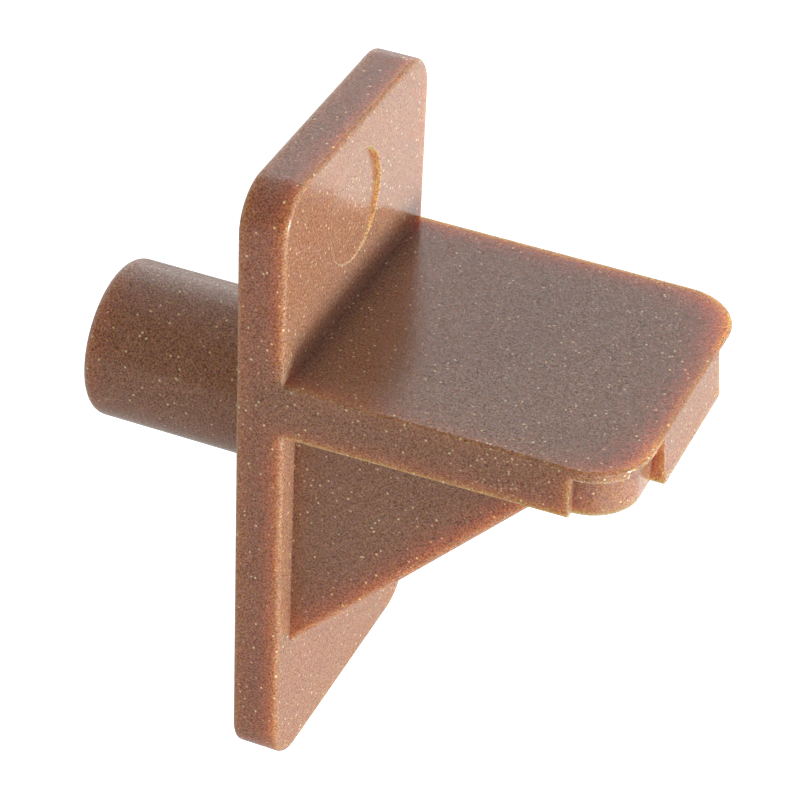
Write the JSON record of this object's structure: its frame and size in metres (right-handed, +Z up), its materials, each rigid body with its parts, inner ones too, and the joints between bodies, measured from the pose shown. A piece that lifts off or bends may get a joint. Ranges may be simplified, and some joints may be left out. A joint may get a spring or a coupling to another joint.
{
  "type": "shelf support pin",
  "caption": "One-piece moulded shelf support: a round pin behind a flat plate, a ledge that carries the shelf, and a wedge-shaped gusset under the ledge.",
  "frame": {"origin": "on the pin's axis, at the plate's back face, where the cabinet wall lies", "axes": "-X along the pin into the wall, +X out along the ledge under the shelf, +Z up"},
  "size_m": [0.0235, 0.0126, 0.0261],
  "materials": {
    "brown_plastic": "satin, as moulded"
  },
  "bodies": {
    "root": {"shelf_support_pin": "brown_plastic"}
  },
  "joints": []
}
